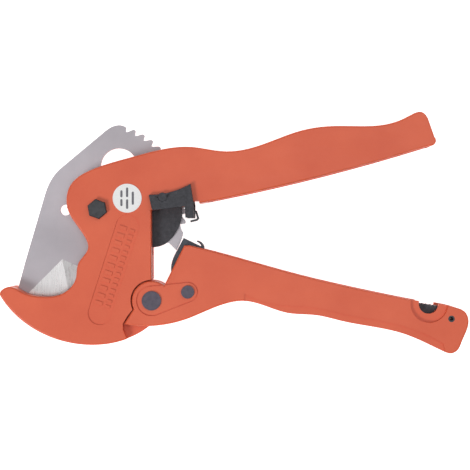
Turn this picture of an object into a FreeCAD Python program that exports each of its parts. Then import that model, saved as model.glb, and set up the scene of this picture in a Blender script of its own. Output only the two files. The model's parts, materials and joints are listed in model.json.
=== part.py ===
import FreeCAD, Part
import math
import os
import Sketcher
from FreeCAD import Placement, Rotation, Vector

# Ratchet pipe cutter, lying on its side, in millimetres.
# Every outline is drawn round the blade pivot, with the tool's mid-plane at height zero.
# Each sub-part's placement then moves the whole tool so that it rests on the ground.

SIZES = [
    ("pivot_x", 62.54, "blade pivot from the middle of the tool, along it (towards the jaw)"),
    ("pivot_y", 10.8, "blade pivot from the middle of the tool, across it"),
    ("body_half", 9.0, "half the thickness of both castings"),
    ("edge_round", 0.8, "rounding of the castings' outer edges"),
    ("channel_half", 5.4, "half the width of the hollow in each handle"),
    ("web_wall", 3.2, "wall at the closed side of each handle's channel"),
    ("upper_reach", 95.0, "fixed handle, from where its channel starts to its end"),
    ("lower_reach", 108.0, "moving handle, from its first finger rest to its end"),
    ("blade_half", 1.1, "half the blade's thickness"),
    ("slot_clearance", 0.3, "between the blade and its slot, each side"),
    ("tooth_radius", 40.3, "ratchet tooth tips from the blade pivot"),
    ("tooth_depth", 2.4, "ratchet tooth height"),
    ("bevel_length", 14.0, "ground bevel, measured square to the cutting edge"),
    ("edge_half", 0.12, "half the thickness left at the cutting edge"),
    ("sector_clearance", 1.7, "between the tooth tips and the end of their slot"),
    ("jaw_slot_radius", 57.0, "end of the blade's slot in the jaw"),
    ("bolt_radius", 3.0, "blade bolt shank"),
    ("bolt_flats", 8.0, "blade bolt head and nut, across flats"),
    ("bolt_head", 2.4, "height of the bolt head and of the nut"),
    ("bush_radius", 5.0, "outside of the blade's bush"),
    ("running_fit", 0.05, "radial clearance of every turning fit"),
    ("tongue_half", 4.5, "half the thickness of the body's tongue"),
    ("fork_clearance", 0.3, "between the tongue and each cheek of the moving handle"),
    ("hinge_radius", 3.5, "moving handle's hinge pin"),
    ("pin_head", 0.7, "height of the pins' heads and clips"),
    ("pawl_pin_radius", 2.2, "drive pawl's pin"),
    ("pawl_plate", 1.3, "thickness of the drive pawl's sheet"),
    ("pawl_clearance", 0.25, "between the pawl and the cheeks"),
    ("guard_plate", 1.2, "thickness of the sector guards"),
    ("guard_gap", 0.5, "between the blade and each sector guard"),
    ("ear_plate", 2.3, "thickness of the release lever's ears"),
    ("ear_gap", 0.3, "between the ears and the body"),
    ("rivet_radius", 2.0, "release lever's rivets"),
    ("leaf_plate", 0.8, "thickness of the retaining leaf"),
    ("latch_pin_radius", 1.5, "latch pin and catch pin"),
    ("catch_grip", 1.5, "how far the catch pin enters the front cheek"),
    ("latch_half", 4.4, "half the width of the latch"),
    ("return_wire", 0.55, "half the wire of the blade's spring"),
    ("return_coil", 6.6, "middle radius of the blade's spring"),
    ("hinge_wire", 0.65, "half the wire of the moving handle's spring"),
    ("hinge_coil", 4.9, "middle radius of the moving handle's spring"),
    ("pawl_wire", 0.35, "half the wire of the pawl's spring"),
    ("disc_radius", 6.6, "caution disc"),
    ("disc_thickness", 0.25, "caution disc"),
    ("panel_depth", 0.5, "depth of the marking panel"),
    ("relief", 0.6, "depth of the reliefs on the moving handle"),
    ("relief_band", 3.5, "width of the relief along the finger rests"),
    ("scoop_depth", 1.6, "depth of the thumb scoop in each cheek"),
    ("underside_bow", 1.3, "how far the fixed handle's underside bows"),
    ("coil_depth", 4.2, "depth of the room for the blade's spring"),
    ("leg_depth", 1.8, "depth of the room for its leg"),
    ("hinge_room_half", 2.5, "half the height of the room for the moving handle's spring"),
]

DOC = FreeCAD.newDocument("pipe_cutter")
SHEET = DOC.addObject("Spreadsheet::Sheet", "sizes")
for row, (alias, value, meaning) in enumerate(SIZES, start=1):
    SHEET.set(f"A{row}", meaning)
    SHEET.set(f"B{row}", str(value))
    SHEET.setAlias(f"B{row}", alias)
DOC.recompute()

SUBPARTS = []


def size(alias):
    return float(SHEET.get(alias))


def cells(expression):
    """Write an expression in size names as one in the sheet's cells."""
    words = expression.replace("-", " - ").replace("+", " + ").replace("*", " * ").split()
    names = {alias for alias, _, _ in SIZES}
    return " ".join(f"sizes.{word}" if word in names else word for word in words)


# Pivots, from the blade pivot.
HINGE = (24.59, -41.82)
PAWL_PIVOT = (41.13, -37.83)
LEVER_PIVOT = (29.7, 5.5)
UPPER_START = 56.0
LOWER_START = 62.0
UPPER_STRETCH = size("upper_reach") / 95.0
LOWER_STRETCH = size("lower_reach") / 108.0


def upper(x, y):
    """A point of the fixed handle, moved along with the handle's reach."""
    return (UPPER_START + (x - UPPER_START) * UPPER_STRETCH, y) if x > UPPER_START else (x, y)


def lower(x, y):
    """A point of the moving handle, moved along with the handle's reach."""
    return (LOWER_START + (x - LOWER_START) * LOWER_STRETCH, y) if x > LOWER_START else (x, y)


# Points that shape the two handles. Their hollows and reliefs follow the same points.
HANDLE_BACK = [upper(58.0, 26.5), upper(70.0, 28.0), upper(93.0, 36.0), upper(106.0, 38.0),
               upper(121.0, 38.0), upper(141.0, 42.0)]
FINGER_REST = [lower(67.0, -42.0), lower(87.0, -47.5), lower(100.0, -48.5), lower(111.0, -51.0),
               lower(140.0, -57.0), lower(158.0, -65.0)]

LATCH_PIVOT = lower(161.6, -50.1)
THUMB_NOTCH = lower(151.5, -43.3)
CATCH = upper(147.0, 30.9)


def polar(radius, degrees, centre=(0.0, 0.0)):
    angle = math.radians(degrees)
    return (centre[0] + radius * math.cos(angle), centre[1] + radius * math.sin(angle))


def vector(point, height=0.0):
    return Vector(point[0], point[1], height)


def lines(*points):
    return [Part.LineSegment(vector(a), vector(b)) for a, b in zip(points, points[1:])]


def curve(*points):
    spline = Part.BSplineCurve()
    spline.interpolate([vector(point) for point in points])
    return [spline]


def arc(start, middle, end):
    return [Part.Arc(vector(start), vector(middle), vector(end))]


def bowed(start, end, bow):
    """An arc whose middle stands off the straight line, to the right of its direction."""
    length = math.dist(start, end)
    across = ((end[1] - start[1]) / length, -(end[0] - start[0]) / length)
    middle = tuple((a + b) / 2 + bow * c for a, b, c in zip(start, end, across))
    return arc(start, middle, end)


def arc_about(centre, radius, start, end):
    """Arc round a centre from one angle to another, in degrees."""
    middle = (start + end) / 2
    return arc(*[polar(radius, angle, centre) for angle in (start, middle, end)])


def loop(*points):
    return lines(*points, points[0])


def stadium(first, second, radius):
    """A slot shape round two centres."""
    along = math.degrees(math.atan2(second[1] - first[1], second[0] - first[0]))
    ends = [polar(radius, along + 90, first), polar(radius, along - 90, first),
            polar(radius, along - 90, second), polar(radius, along + 90, second)]
    return (arc_about(first, radius, along + 90, along + 270) + lines(ends[1], ends[2])
            + arc_about(second, radius, along - 90, along + 90) + lines(ends[3], ends[0]))


def link_shape(first, first_radius, second, second_radius):
    """Two rounds of different radius joined by their common tangents."""
    along = math.degrees(math.atan2(second[1] - first[1], second[0] - first[0]))
    spread = math.degrees(math.acos((first_radius - second_radius) / math.dist(first, second)))
    upper_ends = [polar(first_radius, along + spread, first), polar(second_radius, along + spread, second)]
    lower_ends = [polar(first_radius, along - spread, first), polar(second_radius, along - spread, second)]
    return (arc_about(first, first_radius, along + spread, along + 360 - spread) + lines(*lower_ends)
            + arc_about(second, second_radius, along - spread, along + spread) + lines(*upper_ends))


def origin_plane(body, role):
    return [plane for plane in body.Origin.OriginFeatures if plane.Role == role][0]


def keep(label, piece):
    """Name a finished sub-part and move it to its place in the tool."""
    piece.Label = label
    for axis, cell in (("x", "-pivot_x"), ("y", "pivot_y"), ("z", "body_half + ear_gap + ear_plate")):
        piece.setExpression(f"Placement.Base.{axis}", cells(cell))
    SUBPARTS.append(piece)
    return piece


def new_body(name):
    return DOC.addObject("PartDesign::Body", name)


def sketch(body, name, geometry, height):
    drawing = body.newObject("Sketcher::SketchObject", name)
    drawing.AttachmentSupport = [(origin_plane(body, "XY_Plane"), "")]
    drawing.MapMode = "FlatFace"
    drawing.setExpression("AttachmentOffset.Base.z", cells(height))
    for element in geometry:
        drawing.addGeometry(element, False)
    return drawing


def feature(kind, body, name, geometry, height, length):
    """A pad up from a height, or a pocket down from it."""
    result = body.newObject(f"PartDesign::{kind}", name)
    result.Profile = sketch(body, name + "_sketch", geometry, height)
    result.setExpression("Length", cells(length))
    DOC.recompute()
    return result


def pad(body, name, geometry, bottom, length):
    return feature("Pad", body, name, geometry, bottom, length)


def pocket(body, name, geometry, top, length):
    return feature("Pocket", body, name, geometry, top, length)


def bore(body, name, centre, radius, top, length):
    """A round hole whose radius is bound to the sheet."""
    start = [Part.Circle(vector(centre), Vector(0, 0, 1), 1.0)]
    drawing = sketch(body, name + "_sketch", start, top)
    drawing.addConstraint(Sketcher.Constraint("DistanceX", 0, 3, centre[0]))
    drawing.addConstraint(Sketcher.Constraint("DistanceY", 0, 3, centre[1]))
    drawing.addConstraint(Sketcher.Constraint("Radius", 0, 1.0))
    drawing.setExpression("Constraints[2]", cells(radius))
    result = body.newObject("PartDesign::Pocket", name)
    result.Profile = drawing
    result.setExpression("Length", cells(length))
    DOC.recompute()
    return result


def round_rims(body, base, name, radius):
    """Round the edges of the two flat faces of a pad."""
    box = base.Shape.BoundBox
    rims = []
    for number, edge in enumerate(base.Shape.Edges, start=1):
        flat = edge.BoundBox.ZLength < 1e-6
        if flat and min(abs(edge.BoundBox.ZMin - box.ZMin), abs(edge.BoundBox.ZMax - box.ZMax)) < 1e-6:
            rims.append(f"Edge{number}")
    fillet = body.newObject("PartDesign::Fillet", name)
    fillet.Base = (base, rims)
    fillet.setExpression("Radius", cells(radius))
    DOC.recompute()
    return fillet


def cylinder(name, centre, radius, bottom, length):
    piece = DOC.addObject("Part::Cylinder", name)
    piece.setExpression("Radius", cells(radius))
    piece.setExpression("Height", cells(length))
    piece.Placement.Base = vector(centre)
    piece.setExpression("Placement.Base.z", cells(bottom))
    return piece


def fuse(name, *pieces):
    joined = DOC.addObject("Part::MultiFuse", name)
    joined.Shapes = list(pieces)
    return joined


def cut(name, base, tool):
    result = DOC.addObject("Part::Cut", name)
    result.Base = base
    result.Tool = tool
    return result


def tube(label, centre, outer, inner, bottom, length):
    """A bush or washer."""
    ring = cut(label + "_ring", cylinder(label + "_outside", centre, outer, bottom, length),
               cylinder(label + "_hole", centre, inner, bottom, length))
    return keep(label, ring)


def hexagon(centre, flats, turn):
    corner = flats / 2 / math.cos(math.radians(30))
    return loop(*[polar(corner, turn + 60 * step, centre) for step in range(6)])


# Fixed body: jaw, belly, cheeks and fixed handle in one casting.

def frame_outline():
    jaw_and_back = curve((-45.0, -39.0), (-44.0, -37.0), (-40.5, -35.5), (-34.5, -38.0), (-26.0, -40.0),
                         (-16.0, -38.5), (-10.0, -31.5), (-9.0, -25.0), (-4.5, -18.0), (-7.0, -11.0), (-14.0, 1.0),
                         (-12.5, 11.0), (-3.0, 18.0), (16.0, 24.0), (43.0, 28.5), *HANDLE_BACK,
                         upper(148.0, 44.5), upper(151.0, 41.5))
    end = lines(upper(151.0, 41.5), upper(154.0, 33.0))
    foot = arc(upper(154.0, 33.0), upper(154.5, 30.5), upper(152.0, 29.0))
    underside = bowed(upper(152.0, 29.0), (56.0, 4.5), -size("underside_bow"))
    throat = lines((56.0, 4.5), (45.0, 2.5), (24.5, -0.5), polar(8.9, 90, HINGE))
    tongue = arc_about(HINGE, 8.9, 90, -75)
    belly = curve(polar(8.9, -75, HINGE), (13.0, -59.5), (-6.0, -62.0), (-27.0, -56.0), (-39.0, -47.0),
                  (-45.0, -39.0))
    return jaw_and_back + end + foot + underside + throat + tongue + belly



def fork_seat():
    """The step that thins the body down to its tongue."""
    wall = arc_about(HINGE, 9.6, 85, 205)
    start = polar(9.6, 85, HINGE)
    stop = polar(9.6, 205, HINGE)
    below = lines(stop, (13.7, -48.6), (11.4, -52.4), (11.5, -55.2), (13.6, -60.5), (13.6, -66.0),
                  (40.0, -66.0), (40.0, start[1]), start)
    return wall + below


def marking_bars():
    """Two columns of plain bars on the marking panel."""
    first, second = (13.7, -7.7), (0.9, -47.5)
    length = math.dist(first, second)
    along = ((second[0] - first[0]) / length, (second[1] - first[1]) / length)
    across = (along[1], -along[0])
    bars = []
    for offset, height, pitch, width in ((1.9, 3.6, 3.6, 1.7), (-2.5, 2.4, 2.6, 1.2)):
        count = int((length - 1.0) / pitch)
        for number in range(count):
            middle = 1.5 + number * pitch
            corners = []
            for u, v in ((-1, -1), (1, -1), (1, 1), (-1, 1)):
                a = middle + u * width / 2
                b = offset + v * height / 2
                corners.append((first[0] + along[0] * a + across[0] * b, first[1] + along[1] * a + across[1] * b))
            bars += loop(*corners)
    return bars


def make_frame_casting():
    body = new_body("frame_casting_body")
    block = pad(body, "casting", frame_outline(), "-body_half", "2 * body_half")
    round_rims(body, block, "outer_rounding", "edge_round")
    slot_radius = size("tooth_radius") + size("sector_clearance")
    jaw = size("jaw_slot_radius")
    slot = "2 * blade_half + 2 * slot_clearance"
    slot_top = "blade_half + slot_clearance"
    pocket(body, "sector_slot", [Part.Circle(Vector(), Vector(0, 0, 1), slot_radius)], slot_top, slot)
    jaw_sector = lines((0, 0), polar(jaw, -205)) + arc_about((0, 0), jaw, -205, -111) + lines(polar(jaw, -111), (0, 0))
    pocket(body, "jaw_slot", jaw_sector, slot_top, slot)
    heel = jaw - 8.0
    heel_sector = lines((0, 0), polar(heel, -115)) + arc_about((0, 0), heel, -115, -84) + lines(polar(heel, -84), (0, 0))
    pocket(body, "heel_slot", heel_sector, slot_top, slot)
    cavity = loop((15.0, -21.0), (46.5, -21.0), (46.5, 11.0), (15.0, 11.0))
    guard_room = "blade_half + guard_gap + guard_plate + 0.3"
    pocket(body, "guard_room", cavity, guard_room, "2 * blade_half + 2 * guard_gap + 2 * guard_plate + 0.6")
    wall = size("web_wall")
    start = (50.0, 27.0 - wall)
    corner = upper(146.0, 42.5 - wall)
    roof = curve(start, *[(x, y - wall) for x, y in HANDLE_BACK])
    roof_end = (HANDLE_BACK[-1][0], HANDLE_BACK[-1][1] - wall)
    channel = roof + lines(roof_end, corner, upper(152.2, 31.0), upper(152.2, 20.0), (50.0, -5.0), start)
    pocket(body, "handle_channel", channel, "channel_half", "2 * channel_half")
    spring_disc = [Part.Circle(Vector(), Vector(0, 0, 1), size("return_coil") + size("return_wire") + 1.2)]
    pocket(body, "spring_room", spring_disc, "-blade_half - slot_clearance", "coil_depth")
    leg_disc = [Part.Circle(Vector(), Vector(0, 0, 1), 19.5)]
    pocket(body, "spring_leg_room", leg_disc, "-blade_half - slot_clearance", "leg_depth")
    anchor = stadium((-5.9, -3.0), (-8.6, 2.9), 1.0)
    pocket(body, "spring_anchor", anchor, "-blade_half - slot_clearance", "coil_depth")
    coil_room = size("hinge_coil") + size("hinge_wire") + 1.1
    spring_slot = (arc_about(HINGE, coil_room, 90, 270)
                   + lines(polar(coil_room, 270, HINGE), (44.0, HINGE[1] - coil_room),
                           (44.0, HINGE[1] + coil_room), polar(coil_room, 90, HINGE)))
    pocket(body, "hinge_spring_room", spring_slot, "hinge_room_half", "2 * hinge_room_half")
    hinge_anchor = stadium((20.5, -46.7), (14.8, -46.7), 1.2)
    pocket(body, "hinge_spring_anchor", hinge_anchor, "hinge_room_half", "2 * hinge_room_half")
    seat_depth = "body_half - tongue_half"
    pocket(body, "fork_seat_front", fork_seat(), "body_half", seat_depth)
    pocket(body, "fork_seat_rear", fork_seat(), "-tongue_half", seat_depth)
    notch = loop((40.0, -6.0), (46.4, -6.0), (46.4, 4.0), (40.0, 4.0))
    pocket(body, "lever_notch", notch, "body_half", "2 * body_half")
    through = "2 * body_half"
    bore(body, "blade_bolt_hole", (0, 0), "bolt_radius", "body_half", through)
    bore(body, "hinge_hole", HINGE, "hinge_radius + running_fit", "body_half", through)
    bore(body, "rivet_hole", LEVER_PIVOT, "rivet_radius", "body_half", through)
    bore(body, "catch_pin_hole", CATCH, "latch_pin_radius", "channel_half + catch_grip",
         "body_half + channel_half + catch_grip")
    panel = stadium((13.7, -7.7), (0.9, -47.5), 5.4)
    pocket(body, "marking_panel", panel + marking_bars(), "body_half", "panel_depth")
    return keep("frame_casting", body)


# Blade: a flat plate with a ratchet sector on one side and a notched, double-ground edge on the other.

TOOTH_COUNT = 13
TOOTH_PITCH = 6.8
FIRST_TOOTH = 72.2
EDGE_NOTCH = (-14.2, -39.7)
EDGE_HEADINGS = (45.0, -23.8)


def ratchet_teeth():
    tip = size("tooth_radius")
    root = tip - size("tooth_depth")
    geometry = []
    last = polar(tip - 0.3, FIRST_TOOTH)
    for number in range(TOOTH_COUNT):
        steep = FIRST_TOOTH - TOOTH_PITCH * number
        foot = polar(root, steep - 0.9)
        geometry += lines(last, foot)
        if number == TOOTH_COUNT - 1:
            return geometry, foot
        following = steep - TOOTH_PITCH
        geometry += curve(foot, polar(root + 0.5, steep - 2.4), polar(tip - 0.5, following + 2.3),
                          polar(tip, following + 1.0), polar(tip - 0.3, following))
        last = polar(tip - 0.3, following)
    return geometry, last


def blade_outline():
    tip = size("tooth_radius")
    teeth, last_foot = ratchet_teeth()
    crown = curve((0.9, 34.9), (3.2, 36.8), (5.6, 38.3), (8.7, 39.1), polar(tip - 0.3, FIRST_TOOTH))
    back = curve((-25.2, 7.4), (-23.2, 12.4), (-20.8, 16.2), (-18.3, 18.9))
    land = curve(last_foot, polar(tip - 1.4, -13.6), polar(tip, -15.6))
    sector_end = polar(tip, -28.0)
    tail = lines(sector_end, (32.0, -15.4), (21.0, -17.5)) + curve((21.0, -17.5), (11.0, -27.0), (2.0, -46.8))
    edge = lines((2.0, -46.8), EDGE_NOTCH, (-25.0, -50.5), (-38.9, -41.1), (-37.4, -35.2), (-34.6, -24.6), (-25.2, 7.4))
    shoulder = lines((-18.3, 18.9), (0.9, 34.9))
    return crown + teeth + land + arc_about((0, 0), tip, -15.6, -28.0) + tail + edge + back + shoulder


def bevel_box(name, heading, side):
    """A block on one ground face of the edge; the steel lies to the left of the heading."""
    box = DOC.addObject("Part::Box", name)
    box.Length = 160.0
    box.Width = 120.0
    box.Height = 20.0
    slope = math.degrees(math.atan2(size("blade_half") - size("edge_half"), size("bevel_length")))
    turn = Rotation(Vector(0, 0, 1), heading).multiply(Rotation(Vector(1, 0, 0), side * slope))
    corner = Vector(-80.0, -60.0, 0.0 if side > 0 else -20.0)
    at_edge = Placement(vector(EDGE_NOTCH, side * size("edge_half")), turn)
    box.Placement = at_edge.multiply(Placement(corner, Rotation()))
    return box


def make_blade():
    body = new_body("blade_blank")
    pad(body, "blade_plate", blade_outline(), "-blade_half", "2 * blade_half")
    bore(body, "bush_hole", (0, 0), "bush_radius + running_fit", "blade_half", "2 * blade_half")
    openings = [Part.Circle(Vector(8.9, 20.0, 0), Vector(0, 0, 1), 8.4),
                Part.Circle(Vector(-15.8, -0.2, 0), Vector(0, 0, 1), 2.5)]
    pocket(body, "window", openings, "blade_half", "2 * blade_half")
    ground = body
    for side, face in ((1, "front"), (-1, "rear")):
        both = DOC.addObject("Part::Common", f"ground_{face}")
        both.Base, both.Tool = [bevel_box(f"{face}_bevel_{number}", heading, side)
                                for number, heading in enumerate(EDGE_HEADINGS)]
        ground = cut(f"blade_ground_{face}", ground, both)
    return keep("blade", ground)


# Pivot hardware of the blade.

def make_blade_bolt():
    body = new_body("blade_bolt_body")
    shank = [Part.Circle(Vector(), Vector(0, 0, 1), size("bolt_radius"))]
    pad(body, "shank", shank, "-body_half - bolt_head + 0.3", "2 * body_half + bolt_head - 0.3")
    head = pad(body, "head", hexagon((0, 0), size("bolt_flats"), 100.0), "body_half", "bolt_head")
    rim = [f"Edge{number}" for number, edge in enumerate(head.Shape.Edges, start=1)
           if abs(edge.BoundBox.ZMin - head.Shape.BoundBox.ZMax) < 1e-6]
    chamfer = body.newObject("PartDesign::Chamfer", "head_chamfer")
    chamfer.Base = (head, rim)
    chamfer.Size = 0.35
    DOC.recompute()
    return keep("blade_pivot_bolt", body)


def make_blade_nut():
    body = new_body("blade_nut_body")
    ring = hexagon((0, 0), size("bolt_flats"), 85.0) + [Part.Circle(Vector(), Vector(0, 0, 1), size("bolt_radius"))]
    pad(body, "nut", ring, "-body_half - bolt_head", "bolt_head - 0.5")
    return keep("blade_pivot_nut", body)


# Moving handle: a forked channel with finger rests.

def handle_outline():
    skin = curve((12.0, -52.5), (22.0, -53.5), (40.0, -50.5), (56.0, -44.0), *FINGER_REST,
                 lower(161.5, -66.0), lower(164.5, -64.5), lower(166.5, -60.5), lower(169.0, -54.5),
                 lower(169.5, -50.5), lower(168.0, -47.0), lower(164.0, -45.0), lower(150.0, -42.5),
                 lower(134.0, -39.5), lower(92.0, -30.0), (54.0, -19.5), (42.0, -16.5))
    front = lines((42.0, -16.5), (39.5, -16.5), polar(9.0, 50, HINGE))
    nose = lines(polar(9.0, 205, HINGE), (12.0, -52.5))
    return skin + front + arc_about(HINGE, 9.0, 50, 205) + nose


def handle_channel():
    """The hollow in the moving handle, open on the side that faces the fixed handle."""
    wall = size("web_wall")
    start = (56.0, -44.0 + wall)
    above = [(x, y + wall) for x, y in FINGER_REST]
    back = lines(above[-1], lower(162.0, -61.0), lower(167.4, -51.5), lower(167.4, -35.0), (45.0, -5.0),
                 (45.0, -49.0 + wall), start)
    return curve(start, *above) + back



def fork_gap():
    """Room between the cheeks for the tongue and the drive pawl."""
    return loop((5.0, -60.0), (34.0, -60.0), (34.6, -48.4), (46.0, -45.0), (46.0, -5.0), (5.0, -5.0))


def finger_relief():
    """The strip along the finger rests, set back from the side faces."""
    band = size("relief_band")
    above = [(x, y + band) for x, y in FINGER_REST]
    return curve(*above) + lines(above[-1], lower(159.6, -70.0), lower(67.0, -70.0), above[0])



def make_moving_handle():
    body = new_body("moving_handle_body")
    block = pad(body, "casting", handle_outline(), "-body_half", "2 * body_half")
    round_rims(body, block, "outer_rounding", "edge_round")
    depth = "relief"
    link_line = link_shape(HINGE, 7.0, PAWL_PIVOT, 4.7) + link_shape(HINGE, 6.5, PAWL_PIVOT, 4.2)
    pocket(body, "link_line_front", link_line, "body_half", depth)
    pocket(body, "link_line_rear", link_line, "-body_half + relief", depth)
    scoop = [Part.Circle(vector(THUMB_NOTCH), Vector(0, 0, 1), 8.6)]
    pocket(body, "thumb_scoop_front", scoop, "body_half", "scoop_depth")
    pocket(body, "thumb_scoop_rear", scoop, "-body_half + scoop_depth", "scoop_depth")
    pocket(body, "thumb_notch", [Part.Circle(vector(THUMB_NOTCH), Vector(0, 0, 1), 4.6)], "body_half", "2 * body_half")
    gap = "tongue_half + fork_clearance"
    pocket(body, "fork_gap", fork_gap(), gap, "2 * tongue_half + 2 * fork_clearance")
    pocket(body, "channel", handle_channel(), "channel_half", "2 * channel_half")
    through = "2 * body_half"
    bore(body, "hinge_hole", HINGE, "hinge_radius", "body_half", through)
    bore(body, "pawl_pin_hole", PAWL_PIVOT, "pawl_pin_radius", "body_half", through)
    bore(body, "latch_pin_hole", LATCH_PIVOT, "latch_pin_radius", "body_half", through)
    pocket(body, "relief_front", finger_relief(), "body_half", depth)
    pocket(body, "relief_rear", finger_relief(), "-body_half + relief", depth)
    return keep("moving_handle_casting", body)


def headed_pin(label, centre, radius, head_radius):
    """A pin with a flat head on the front face and a groove end on the rear."""
    shank = cylinder(label + "_shank", centre, radius, "-body_half - pin_head", "2 * body_half + pin_head")
    head = cylinder(label + "_head", centre, head_radius, "body_half", "pin_head")
    return keep(label, fuse(label + "_solid", shank, head))


def rear_clip(label, centre, inner, outer):
    return tube(label, centre, outer, inner, "-body_half - pin_head", "pin_head")


# Drive pawl: a folded sheet that straddles the ratchet sector.

def make_drive_pawl():
    body = new_body("drive_pawl_body")
    outer = "tongue_half + fork_clearance - pawl_clearance"
    tip = (39.0, -13.2)
    heel = (35.4, -37.8)
    toe = (46.8, -37.0)
    hook_outside = (48.6, -17.6)
    hook_inside = (47.2, -17.2)
    side = (curve(tip, (36.5, -18.0), (33.5, -25.0), (34.0, -33.0), heel)
            + arc(heel, polar(5.73, -80, PAWL_PIVOT), toe) + curve(toe, (47.0, -29.0), hook_outside)
            + curve(hook_outside, (47.9, -15.9), (45.4, -14.3)) + lines((45.4, -14.3), (45.1, -14.9))
            + curve((45.1, -14.9), (46.7, -16.0), hook_inside) + lines(hook_inside, tip))
    full = "2 * tongue_half + 2 * fork_clearance - 2 * pawl_clearance"
    pad(body, "folded_sheet", side, "-tongue_half - fork_clearance + pawl_clearance", full)
    inner_half = "tongue_half + fork_clearance - pawl_clearance - pawl_plate"
    inside = loop((30.0, -8.0), (39.4, -14.4), (41.9, -17.6), (46.2, -19.6), (45.2, -30.0), (47.5, -45.0),
                  (30.0, -45.0))
    pocket(body, "inside", inside, inner_half,
           "2 * tongue_half + 2 * fork_clearance - 2 * pawl_clearance - 2 * pawl_plate")
    bore(body, "pin_hole", PAWL_PIVOT, "pawl_pin_radius + running_fit", outer, full)
    return keep("drive_pawl", body)


# Release lever, sector guards and retaining leaf.

def make_release_lever():
    body = new_body("release_lever_body")
    front_corner = (23.5, 6.5)
    top_corner = (42.5, 11.5)
    ear = (curve(front_corner, (36.0, 8.5), top_corner)
           + lines(top_corner, (44.0, 2.0), (44.0, -3.9), (40.2, -3.9), (39.8, 1.3), (25.0, -0.5), front_corner))
    bottom = "body_half + ear_gap"
    pad(body, "front_ear", ear, bottom, "ear_plate")
    web = loop((41.3, -3.9), (44.0, -3.9), (44.0, -0.4), (41.3, -0.4))
    pad(body, "web", web, "-body_half - ear_gap - ear_plate", "2 * body_half + 2 * ear_gap + 2 * ear_plate")
    pad(body, "rear_ear", ear, "-body_half - ear_gap - ear_plate", "ear_plate")
    width = "2 * body_half + 2 * ear_gap + 2 * ear_plate"
    bore(body, "rivet_hole", LEVER_PIVOT, "rivet_radius + running_fit", "body_half + ear_gap + ear_plate", width)
    return keep("release_lever", body)


def make_retaining_leaf():
    body = new_body("retaining_leaf_body")
    thick = size("leaf_plate")
    leaf = loop((44.0, -0.4), (44.2 + thick, -0.6), (45.4 + thick, -4.2), (45.2, -4.4 - thick), (42.2, -5.1 - thick),
                (42.1, -5.1), (44.8, -4.4), (45.2, -4.0), (44.4, -1.3), (44.0, -1.3))
    pad(body, "leaf", leaf, "-tongue_half + 0.5", "2 * tongue_half - 1")
    return keep("retaining_leaf", body)


def make_guard(label, bottom):
    body = new_body(label + "_body")
    start = (24.5, -17.5)
    end = (38.0, 1.0)
    outline = (curve(start, (32.0, -14.7), (36.3, -9.0), (38.0, -4.0), end)
               + lines(end, (38.0, 9.0), (24.0, 9.0), (17.5, 2.0), (17.5, -17.5), start))
    pad(body, "plate", outline, bottom, "guard_plate")
    bore(body, "rivet_hole", LEVER_PIVOT, "rivet_radius", bottom + " + guard_plate", "guard_plate")
    return keep(label, body)


def make_rivets():
    """Two short rivets, because the blade passes between them."""
    length = "body_half + ear_gap + ear_plate - blade_half - guard_gap - 0.3"
    front = cylinder("rivet_front", LEVER_PIVOT, "rivet_radius", "blade_half + guard_gap", length)
    rear = cylinder("rivet_rear", LEVER_PIVOT, "rivet_radius", "-body_half - ear_gap - ear_plate + 0.3", length)
    both = DOC.addObject("Part::Compound", "rivet_pair")
    both.Links = [front, rear]
    return keep("lever_rivets", both)


# Lock latch in the end of the moving handle.

def make_latch():
    """A hooked arm with a ridged thumb edge."""
    body = new_body("lock_latch_body")
    centre = LATCH_PIVOT
    notch = THUMB_NOTCH
    ridge_start = (notch[0] - 4.0, notch[1] - 0.4)
    ridge_end = (notch[0] + 5.0, notch[1] - 1.8)
    ridges = []
    count = 5
    for number in range(count):
        a = number / count
        b = (number + 1) / count
        low = (ridge_start[0] + (ridge_end[0] - ridge_start[0]) * a, ridge_start[1] + (ridge_end[1] - ridge_start[1]) * a)
        high = (ridge_start[0] + (ridge_end[0] - ridge_start[0]) * b, ridge_start[1] + (ridge_end[1] - ridge_start[1]) * b)
        middle = ((low[0] + high[0]) / 2, (low[1] + high[1]) / 2 + 0.6)
        ridges += arc(low, middle, high)
    shoulder = polar(2.9, 75, centre)
    outline = (ridges + lines(ridge_end, shoulder) + arc(shoulder, polar(2.9, -20, centre), polar(2.9, -115, centre))
               + lines(polar(2.9, -115, centre), (notch[0] - 0.5, notch[1] - 7.2), (notch[0] - 7.0, notch[1] - 5.7),
                       (notch[0] - 9.8, notch[1] - 4.6), (notch[0] - 11.0, notch[1] - 1.8),
                       (notch[0] - 9.8, notch[1] + 1.0), (notch[0] - 4.9, notch[1] + 0.2), ridge_start))
    pad(body, "arm", outline, "-latch_half", "2 * latch_half")
    hook = stadium((notch[0] - 7.2, notch[1] - 1.9), (notch[0] - 5.6, notch[1] + 4.0), size("latch_pin_radius") + 0.3)
    pocket(body, "hook", hook, "latch_half", "2 * latch_half")
    bore(body, "pin_hole", centre, "latch_pin_radius + running_fit", "latch_half", "2 * latch_half")
    return keep("lock_latch", body)


# Springs.

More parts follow.
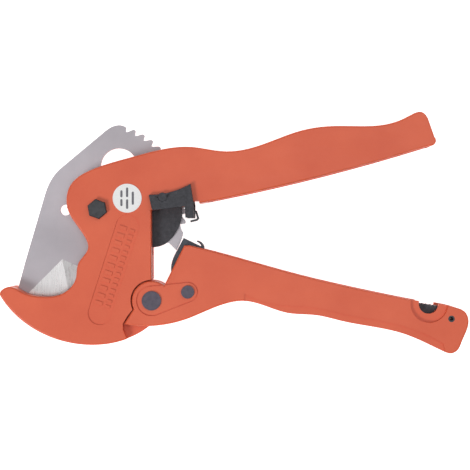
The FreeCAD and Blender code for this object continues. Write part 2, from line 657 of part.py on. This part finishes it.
def torsion_spring(label, centre, coil, wire, low, turns, pitch, start, legs, hook=0.0):
    """A coil of round wire with a straight leg at each end and, if asked for, an upright end."""
    steps = int(turns * 16)
    points = []
    for step in range(steps + 1):
        part = step / steps
        x, y = polar(coil, start + 360.0 * turns * part, centre)
        points.append(Vector(x, y, low + pitch * turns * part))
    spline = Part.BSplineCurve()
    first, last = points[0], points[-1]
    spline.interpolate(points)
    edges = [spline.toShape()]
    begin = spline.tangent(spline.FirstParameter)[0]
    finish = spline.tangent(spline.LastParameter)[0]
    if legs[0]:
        edges.insert(0, Part.makeLine(first - begin * legs[0], first))
    if legs[1]:
        edges.append(Part.makeLine(last, last + finish * legs[1]))
    if hook:
        end = last + finish * legs[1]
        edges.append(Part.makeLine(end, end + Vector(0, 0, hook)))
    path = Part.Wire(edges)
    origin = path.Edges[0].valueAt(path.Edges[0].FirstParameter)
    ring = Part.Wire(Part.makeCircle(wire, origin, begin))
    piece = DOC.addObject("Part::Feature", label + "_wire")
    piece.Shape = path.makePipeShell([ring], True, False, 1)
    return keep(label, piece)


def round_plate(label, centre, radius, bottom, length):
    """A plain round bar or disc, padded from a circle whose radius is bound to the sheet."""
    body = new_body(label + "_body")
    start = [Part.Circle(vector(centre), Vector(0, 0, 1), 1.0)]
    result = pad(body, label + "_round", start, bottom, length)
    result.Profile[0].addConstraint(Sketcher.Constraint("Radius", 0, 1.0))
    result.Profile[0].setExpression("Constraints[0]", cells(radius))
    return keep(label, body)


make_frame_casting()
make_blade()
make_blade_bolt()
make_blade_nut()
tube("blade_pivot_washer", (0, 0), "bolt_flats * 0.62", "bolt_radius", "-body_half - 0.5", "0.5")
tube("blade_bush", (0, 0), "bush_radius", "bolt_radius", "-blade_half - slot_clearance",
     "2 * blade_half + 2 * slot_clearance")
make_moving_handle()
headed_pin("handle_pivot_pin", HINGE, "hinge_radius", "hinge_radius + 0.9")
rear_clip("handle_pivot_clip", HINGE, "hinge_radius", "hinge_radius + 1.3")
headed_pin("drive_pawl_pin", PAWL_PIVOT, "pawl_pin_radius", "pawl_pin_radius + 0.8")
rear_clip("drive_pawl_clip", PAWL_PIVOT, "pawl_pin_radius", "pawl_pin_radius + 1.0")
make_drive_pawl()
tube("pawl_bush", PAWL_PIVOT, "pawl_pin_radius + 1.0", "pawl_pin_radius + running_fit",
     "-tongue_half - fork_clearance + pawl_clearance + pawl_plate",
     "2 * tongue_half + 2 * fork_clearance - 2 * pawl_clearance - 2 * pawl_plate")
make_release_lever()
make_retaining_leaf()
make_guard("sector_guard_front", "blade_half + guard_gap")
make_guard("sector_guard_rear", "-blade_half - guard_gap - guard_plate")
make_rivets()
make_latch()
tube("latch_pin", LATCH_PIVOT, "latch_pin_radius", "latch_pin_radius * 0.55", "-body_half", "2 * body_half")
round_plate("latch_catch_pin", CATCH, "latch_pin_radius", "-body_half", "body_half + channel_half + catch_grip")
round_plate("caution_disc", (13.5, 5.0), "disc_radius", "body_half", "disc_thickness")
torsion_spring("blade_return_spring", (0, 0), size("return_coil"), size("return_wire"), -4.6, 1.741, 1.31, 205.0,
               (6.0, 13.3), 2.6)
torsion_spring("handle_return_spring", HINGE, size("hinge_coil"), size("hinge_wire"), -1.5, 2.0, 1.5, 270.0,
               (9.0, 11.0))
torsion_spring("drive_pawl_spring", PAWL_PIVOT, size("pawl_pin_radius") + 1.9, size("pawl_wire"), -1.6, 3.5, 0.9,
               60.0, (0.0, 6.5))
DOC.recompute()

for item in DOC.Objects:
    if {"Invalid", "Error"} & set(item.State):
        raise RuntimeError(f"{item.Label} did not compute: {item.State}")
for piece in SUBPARTS:
    if piece.Shape.isNull() or not piece.Shape.isValid() or piece.Shape.Volume <= 0:
        raise RuntimeError(f"{piece.Label} has no sound shape")

os.makedirs("parts", exist_ok=True)
for piece in SUBPARTS:
    piece.Shape.exportStep(f"parts/{piece.Label}.step")
    print(piece.Label, len(piece.Shape.Solids), round(piece.Shape.Volume, 1))
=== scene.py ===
"""Looks for a ratchet pipe cutter: coated castings, ground blade, dark hardware, floor, lights, camera."""
import json
import math

import bmesh
import bpy
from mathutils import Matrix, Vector


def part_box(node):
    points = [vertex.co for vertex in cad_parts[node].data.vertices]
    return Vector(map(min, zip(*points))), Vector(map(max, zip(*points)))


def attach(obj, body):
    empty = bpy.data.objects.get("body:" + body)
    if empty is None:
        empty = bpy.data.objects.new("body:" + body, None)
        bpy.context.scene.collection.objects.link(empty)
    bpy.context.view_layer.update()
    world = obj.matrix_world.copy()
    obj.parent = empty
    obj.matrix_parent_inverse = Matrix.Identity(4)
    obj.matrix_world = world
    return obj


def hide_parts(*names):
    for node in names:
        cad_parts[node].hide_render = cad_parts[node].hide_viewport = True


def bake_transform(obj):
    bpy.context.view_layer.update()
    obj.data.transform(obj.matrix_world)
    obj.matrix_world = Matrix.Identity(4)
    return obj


MM = 0.001

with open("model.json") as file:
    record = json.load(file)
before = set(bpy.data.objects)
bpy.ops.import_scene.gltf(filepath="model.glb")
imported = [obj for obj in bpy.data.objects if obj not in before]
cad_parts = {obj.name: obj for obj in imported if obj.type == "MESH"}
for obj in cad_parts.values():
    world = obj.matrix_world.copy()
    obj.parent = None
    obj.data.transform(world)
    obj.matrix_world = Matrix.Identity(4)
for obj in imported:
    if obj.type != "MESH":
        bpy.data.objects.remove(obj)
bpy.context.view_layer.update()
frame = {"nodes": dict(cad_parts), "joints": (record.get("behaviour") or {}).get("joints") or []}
NODES = frame["nodes"]
PIVOTS = {joint["name"]: Vector(joint["pos_m"]) for joint in frame["joints"]}


# Node helpers.

class Shader:
    """A material whose nodes are added one by one."""

    def __init__(self, name):
        self.material = bpy.data.materials.new(name)
        self.material.use_nodes = True
        self.nodes = self.material.node_tree.nodes
        self.links = self.material.node_tree.links
        self.surface = self.nodes["Principled BSDF"]

    def add(self, kind, **settings):
        node = self.nodes.new(kind)
        for key, value in settings.items():
            if hasattr(node, key):
                setattr(node, key, value)
            else:
                node.inputs[key.replace("_", " ")].default_value = value
        return node

    def link(self, source, target):
        self.links.new(source, target)

    def set(self, **values):
        for key, value in values.items():
            self.surface.inputs[key.replace("_", " ")].default_value = value

    def place(self, scale=(1, 1, 1), turn=0.0):
        """Object coordinates in metres, turned about the vertical and stretched."""
        coordinates = self.add("ShaderNodeTexCoord")
        mapping = self.add("ShaderNodeMapping")
        mapping.inputs["Scale"].default_value = scale
        mapping.inputs["Rotation"].default_value = (0, 0, math.radians(turn))
        self.link(coordinates.outputs["Object"], mapping.inputs["Vector"])
        return mapping.outputs["Vector"]

    def noise(self, vector, scale, detail=3.0, roughness=0.55):
        node = self.add("ShaderNodeTexNoise", Scale=scale, Detail=detail, Roughness=roughness)
        self.link(vector, node.inputs["Vector"])
        return node.outputs["Fac"]

    def ramp(self, factor, *stops):
        node = self.add("ShaderNodeValToRGB")
        elements = node.color_ramp.elements
        while len(elements) < len(stops):
            elements.new(0.5)
        for element, (position, colour) in zip(elements, stops):
            element.position = position
            element.color = (*colour, 1.0) if isinstance(colour, tuple) else (colour, colour, colour, 1.0)
        self.link(factor, node.inputs["Fac"])
        return node.outputs["Color"]

    def mix(self, factor, first, second, blend="MIX"):
        node = self.add("ShaderNodeMix", data_type="RGBA", blend_type=blend)
        for value, index in ((factor, 0), (first, 6), (second, 7)):
            if isinstance(value, bpy.types.NodeSocket):
                self.link(value, node.inputs[index])
            else:
                node.inputs[index].default_value = value if index == 0 else (*value, 1.0)
        return node.outputs[2]

    def remap(self, value, low, high):
        node = self.add("ShaderNodeMapRange")
        node.inputs["To Min"].default_value = low
        node.inputs["To Max"].default_value = high
        self.link(value, node.inputs["Value"])
        return node.outputs["Result"]

    def bump(self, height, strength, distance, below=None):
        node = self.add("ShaderNodeBump", Strength=strength, Distance=distance)
        self.link(height, node.inputs["Height"])
        if below is not None:
            self.link(below, node.inputs["Normal"])
        return node.outputs["Normal"]

    def finish(self, colour=None, roughness=None, normal=None):
        for name, value in (("Base Color", colour), ("Roughness", roughness), ("Normal", normal)):
            if value is not None:
                self.link(value, self.surface.inputs[name])
        return self.material


# Materials.

def powder_coat():
    """Satin orange coating over cast aluminium: fine orange peel, slight clouding, rubbed streaks."""
    shader = Shader("orange_powder_coat")
    plain = shader.place()
    clouds = shader.noise(plain, 42.0, detail=4.0)
    grain = shader.noise(plain, 2300.0, detail=2.0)
    rubbed = shader.noise(shader.place(scale=(1.0, 7.0, 1.0), turn=14.0), 75.0, detail=5.0, roughness=0.7)
    base = shader.ramp(clouds, (0.3, (0.685, 0.099, 0.038)), (0.7, (0.755, 0.124, 0.050)))
    speckled = shader.mix(shader.remap(grain, 0.0, 0.10), base, (0.87, 0.235, 0.115))
    worn = shader.mix(shader.ramp(rubbed, (0.62, 0.0), (0.80, 0.16)), speckled, (0.81, 0.19, 0.09))
    peel = shader.noise(plain, 820.0, detail=1.5)
    normal = shader.bump(peel, 0.16, 0.00025)
    normal = shader.bump(grain, 0.10, 0.00008, below=normal)
    shader.set(Specular_IOR_Level=0.42, Coat_Weight=0.12, Coat_Roughness=0.28)
    return shader.finish(worn, shader.remap(rubbed, 0.36, 0.56), normal)


def ground_steel():
    """Tumbled blade steel; the ground bevel carries grinding lines and is shinier, and its colour is
    lighter as a painted highlight where the tilted bevel faces catch the light.
    """
    shader = Shader("ground_blade_steel")
    plain = shader.place()
    clouds = shader.noise(plain, 55.0, detail=4.0)
    grain = shader.noise(plain, 1900.0, detail=3.0, roughness=0.65)
    lines = shader.noise(shader.place(scale=(1.0, 0.035, 1.0), turn=-12.0), 2600.0, detail=4.0)
    coordinates = shader.add("ShaderNodeNewGeometry")
    split = shader.add("ShaderNodeSeparateXYZ")
    shader.link(coordinates.outputs["True Normal"], split.inputs["Vector"])
    upright = shader.add("ShaderNodeMath", operation="ABSOLUTE")
    shader.link(split.outputs["Z"], upright.inputs[0])
    tilted = shader.add("ShaderNodeMath", operation="LESS_THAN")
    tilted.inputs[1].default_value = 0.9993
    shader.link(upright.outputs[0], tilted.inputs[0])
    flank = shader.add("ShaderNodeMath", operation="GREATER_THAN")
    flank.inputs[1].default_value = 0.9
    shader.link(upright.outputs[0], flank.inputs[0])
    ground = shader.add("ShaderNodeMath", operation="MULTIPLY")
    shader.link(tilted.outputs[0], ground.inputs[0])
    shader.link(flank.outputs[0], ground.inputs[1])
    flat = shader.ramp(clouds, (0.3, (0.40, 0.372, 0.405)), (0.7, (0.47, 0.44, 0.475)))
    flat = shader.mix(shader.remap(grain, 0.0, 0.22), flat, (0.62, 0.60, 0.61))
    # Bevel colour: grinding lines, plus a painted highlight that lightens the tilted bevel faces as if
    # they caught the light.
    bevel_lines_and_painted_highlight = shader.ramp(lines, (0.35, (0.58, 0.57, 0.575)), (0.65, (0.72, 0.71, 0.715)))
    colour = shader.mix(ground.outputs[0], flat, bevel_lines_and_painted_highlight)
    dull = shader.remap(grain, 0.44, 0.60)
    shiny = shader.remap(lines, 0.22, 0.36)
    rough = shader.mix(ground.outputs[0], dull, shiny)
    normal = shader.bump(grain, 0.12, 0.00006)
    normal = shader.bump(lines, 0.10, 0.00005, below=normal)
    shader.set(Metallic=0.82, Anisotropic=0.25)
    return shader.finish(colour, rough, normal)


def dark_metal(name, low, high, metallic, roughness, streak_turn=0.0):
    """Coated or hardened steel: mottled, with faint drawn lines."""
    shader = Shader(name)
    plain = shader.place()
    mottle = shader.noise(plain, 420.0, detail=4.0)
    drawn = shader.noise(shader.place(scale=(1.0, 0.08, 1.0), turn=streak_turn), 1800.0, detail=3.0)
    colour = shader.mix(shader.remap(drawn, 0.0, 0.35), shader.ramp(mottle, (0.3, low), (0.7, high)), high)
    normal = shader.bump(drawn, 0.12, 0.00006)
    shader.set(Metallic=metallic)
    return shader.finish(colour, shader.remap(mottle, roughness - 0.07, roughness + 0.09), normal)


def turned_pin(name, low, high, joint):
    """Blued zinc on a turned face: rings about the pin's axis."""
    shader = Shader(name)
    coordinates = shader.add("ShaderNodeTexCoord")
    centre = PIVOTS[joint]
    offset = shader.add("ShaderNodeVectorMath", operation="SUBTRACT")
    offset.inputs[1].default_value = centre
    shader.link(coordinates.outputs["Object"], offset.inputs[0])
    flatten = shader.add("ShaderNodeVectorMath", operation="MULTIPLY")
    flatten.inputs[1].default_value = (1.0, 1.0, 0.0)
    shader.link(offset.outputs[0], flatten.inputs[0])
    reach = shader.add("ShaderNodeVectorMath", operation="LENGTH")
    shader.link(flatten.outputs[0], reach.inputs[0])
    rings = shader.noise(reach.outputs["Value"], 4200.0, detail=2.0)
    mottle = shader.noise(shader.place(), 600.0, detail=4.0)
    base = shader.ramp(mottle, (0.3, low), (0.7, high))
    colour = shader.mix(shader.remap(rings, 0.0, 0.4), base, high)
    normal = shader.bump(rings, 0.14, 0.00006)
    shader.set(Metallic=0.75)
    return shader.finish(colour, shader.remap(mottle, 0.34, 0.52), normal)


def moulded_black():
    """Spark-textured black moulding."""
    shader = Shader("moulded_black")
    plain = shader.place()
    texture = shader.noise(plain, 2600.0, detail=2.0)
    dust = shader.noise(plain, 520.0, detail=5.0, roughness=0.7)
    colour = shader.ramp(dust, (0.35, (0.030, 0.030, 0.036)), (0.75, (0.068, 0.068, 0.080)))
    normal = shader.bump(texture, 0.30, 0.0001)
    shader.set(Specular_IOR_Level=0.38)
    return shader.finish(colour, shader.remap(texture, 0.50, 0.72), normal)


def label_film():
    """White printed film."""
    shader = Shader("label_film")
    plain = shader.place()
    fibre = shader.noise(plain, 1500.0, detail=3.0)
    colour = shader.ramp(fibre, (0.3, (0.84, 0.84, 0.835)), (0.7, (0.90, 0.90, 0.895)))
    return shader.finish(colour, shader.remap(fibre, 0.42, 0.55), shader.bump(fibre, 0.05, 0.00004))


def label_ink():
    shader = Shader("label_ink")
    plain = shader.place()
    patches = shader.noise(plain, 1800.0, detail=3.0)
    colour = shader.ramp(patches, (0.3, (0.10, 0.10, 0.12)), (0.7, (0.19, 0.19, 0.21)))
    return shader.finish(colour, shader.remap(patches, 0.5, 0.62))


def floor_white():
    shader = Shader("studio_white")
    patches = shader.noise(shader.place(), 3.0)
    colour = shader.ramp(patches, (0.3, (0.90, 0.90, 0.90)), (0.7, (0.92, 0.92, 0.92)))
    shader.set(Specular_IOR_Level=0.1, Emission_Color=(1.0, 1.0, 1.0, 1.0), Emission_Strength=0.9)
    return shader.finish(colour, shader.remap(patches, 0.8, 0.9))


COAT = powder_coat()
BLADE_STEEL = ground_steel()
BLACK_STEEL = dark_metal("black_oxide", (0.030, 0.031, 0.034), (0.062, 0.064, 0.070), 0.55, 0.42)
PAWL_STEEL = dark_metal("hardened_sheet", (0.036, 0.040, 0.050), (0.075, 0.082, 0.098), 0.6, 0.44, 30.0)
WIRE = dark_metal("drawn_wire", (0.10, 0.10, 0.11), (0.22, 0.22, 0.23), 0.9, 0.34, 80.0)
ZINC = dark_metal("blued_zinc", (0.10, 0.12, 0.15), (0.17, 0.20, 0.24), 0.75, 0.40, 45.0)
PIN_DARK = (0.063, 0.057, 0.078)
PIN_LIGHT = (0.110, 0.098, 0.125)
HINGE_PIN = turned_pin("hinge_pin_face", PIN_DARK, PIN_LIGHT, "handle_pivot")
PAWL_PIN = turned_pin("pawl_pin_face", PIN_DARK, PIN_LIGHT, "drive_pawl_pivot")
BLACK_PLASTIC = moulded_black()

NODE_MATERIALS = {
    "frame_casting": COAT, "moving_handle_casting": COAT, "blade": BLADE_STEEL,
    "blade_pivot_bolt": BLACK_STEEL, "blade_pivot_nut": BLACK_STEEL, "blade_pivot_washer": ZINC,
    "blade_bush": ZINC, "lever_rivets": BLACK_PLASTIC, "sector_guard_front": BLACK_PLASTIC,
    "sector_guard_rear": BLACK_PLASTIC, "latch_catch_pin": ZINC, "caution_disc": label_film(),
    "blade_return_spring": WIRE, "handle_return_spring": WIRE, "drive_pawl_spring": WIRE,
    "handle_pivot_pin": HINGE_PIN, "handle_pivot_clip": ZINC, "drive_pawl_pin": PAWL_PIN,
    "drive_pawl_clip": ZINC, "latch_pin": BLACK_STEEL, "drive_pawl": PAWL_STEEL, "pawl_bush": ZINC,
    "release_lever": BLACK_PLASTIC, "retaining_leaf": BLACK_STEEL, "lock_latch": BLACK_PLASTIC,
}


def paint(piece, material):
    piece.data.materials.clear()
    piece.data.materials.append(material)


for name, node in NODES.items():
    paint(node, NODE_MATERIALS[name])


def soften(name, width):
    """Round the sharp edges that the solid model leaves, without touching its own mesh."""
    node = NODES[name]
    weld = node.modifiers.new("weld", "WELD")
    weld.merge_threshold = 0.00001
    bevel = node.modifiers.new("soft_edges", "BEVEL")
    bevel.width = width
    bevel.segments = 2
    bevel.limit_method = "ANGLE"
    bevel.angle_limit = math.radians(50)
    bevel.use_clamp_overlap = True
    normals = node.modifiers.new("even_normals", "WEIGHTED_NORMAL")
    normals.keep_sharp = False


SOFT_EDGES = {
    "release_lever": 0.35 * MM, "blade_pivot_nut": 0.3 * MM, "handle_pivot_pin": 0.25 * MM,
    "drive_pawl_pin": 0.2 * MM, "handle_pivot_clip": 0.12 * MM, "drive_pawl_clip": 0.12 * MM,
    "lever_rivets": 0.2 * MM,
}

for name, width in SOFT_EDGES.items():
    soften(name, width)


# Springs: each spring's mesh is copied into an object of its own.

def twisting_spring(name, still, turning, low, high):
    """A copy of a spring's mesh in an object of its own, with the model's part hidden."""
    source = NODES[name]
    piece = bpy.data.objects.new(name + "_wound", source.data.copy())
    bpy.context.scene.collection.objects.link(piece)
    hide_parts(name)
    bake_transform(piece)
    return piece


BLADE_COIL_HEIGHTS = (-4.4 * MM, -2.5 * MM)
HANDLE_COIL_HEIGHTS = (-1.2 * MM, 1.2 * MM)
twisting_spring("blade_return_spring", "frame", "blade", *BLADE_COIL_HEIGHTS)
twisting_spring("handle_return_spring", "frame", "moving_handle", *HANDLE_COIL_HEIGHTS)


# Caution disc: plain bars in place of words.

def rounded_bar(name, centre, length, width, height, material, body):
    """A thin bar with rounded ends, lying flat and running along Y."""
    mesh = bmesh.new()
    steps = 10
    radius = width / 2
    rim = []
    for end, sign in ((length / 2 - radius, 1), (-length / 2 + radius, -1)):
        for step in range(steps + 1):
            angle = math.pi * step / steps
            rim.append((radius * math.cos(angle) * sign, end + radius * math.sin(angle) * sign))
    bottom = [mesh.verts.new((centre.x + x, centre.y + y, centre.z)) for x, y in rim]
    face = mesh.faces.new(bottom)
    raised = bmesh.ops.extrude_face_region(mesh, geom=[face])
    top = [item for item in raised["geom"] if isinstance(item, bmesh.types.BMVert)]
    bmesh.ops.translate(mesh, verts=top, vec=(0, 0, height))
    bmesh.ops.recalc_face_normals(mesh, faces=mesh.faces)
    data = bpy.data.meshes.new(name)
    mesh.to_mesh(data)
    mesh.free()
    piece = bpy.data.objects.new(name, data)
    bpy.context.scene.collection.objects.link(piece)
    piece.data.materials.append(material)
    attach(piece, body)
    return piece


def print_label():
    ink = label_ink()
    low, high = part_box("caution_disc")
    centre = low.lerp(high, 0.5)
    width = 1.0 * MM
    height = 0.03 * MM
    columns = ((-2.6, -2.0, 3.2), (-2.6, 2.0, 3.2), (0.0, -2.7, 4.4), (0.0, 2.7, 4.4), (2.6, 0.0, 6.0))
    for number, (across, along, length) in enumerate(columns):
        middle = Vector((centre.x + across * MM, centre.y + along * MM, high.z))
        rounded_bar(f"label_bar_{number}", middle, length * MM, width, height, ink, "frame")


print_label()


# Floor, light and camera.

def floor():
    data = bpy.data.meshes.new("floor")
    half = 3.0
    corners = [(-half, -half, 0), (half, -half, 0), (half, half, 0), (-half, half, 0)]
    data.from_pydata(corners, [], [(0, 1, 2, 3)])
    piece = bpy.data.objects.new("floor", data)
    bpy.context.scene.collection.objects.link(piece)
    piece.data.materials.append(floor_white())


def area_light(name, place, target, size, power):
    light = bpy.data.lights.new(name, "AREA")
    light.shape = "DISK"
    light.size = size
    light.energy = power
    lamp = bpy.data.objects.new(name, light)
    lamp.location = place
    lamp.rotation_euler = (Vector(target) - Vector(place)).to_track_quat("-Z", "Y").to_euler()
    bpy.context.scene.collection.objects.link(lamp)


def lights():
    area_light("key", (-0.55, -0.45, 0.75), (0, 0, 0), 0.35, 4.6)
    area_light("top", (0.15, 0.10, 1.1), (0, 0, 0), 0.9, 3.4)
    area_light("fill", (0.6, 0.5, 0.6), (0, 0, 0), 0.7, 1.2)
    world = bpy.data.worlds.new("studio")
    world.use_nodes = True
    world.node_tree.nodes["Background"].inputs["Color"].default_value = (1.0, 1.0, 1.0, 1.0)
    world.node_tree.nodes["Background"].inputs["Strength"].default_value = 0.26
    bpy.context.scene.world = world


def camera():
    """Straight down on the tool."""
    width = 214.6 * MM
    distance = 0.52
    front_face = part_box("frame_casting")[1].z
    lens = bpy.data.cameras.new("camera")
    lens.sensor_width = 36.0
    lens.lens = lens.sensor_width * distance / width
    lens.clip_start = 0.01
    eye = bpy.data.objects.new("camera", lens)
    eye.location = (0.2 * MM, -1.0 * MM, front_face + distance)
    bpy.context.scene.collection.objects.link(eye)
    bpy.context.scene.camera = eye


floor()
lights()
camera()
bpy.context.scene.view_settings.view_transform = "Standard"
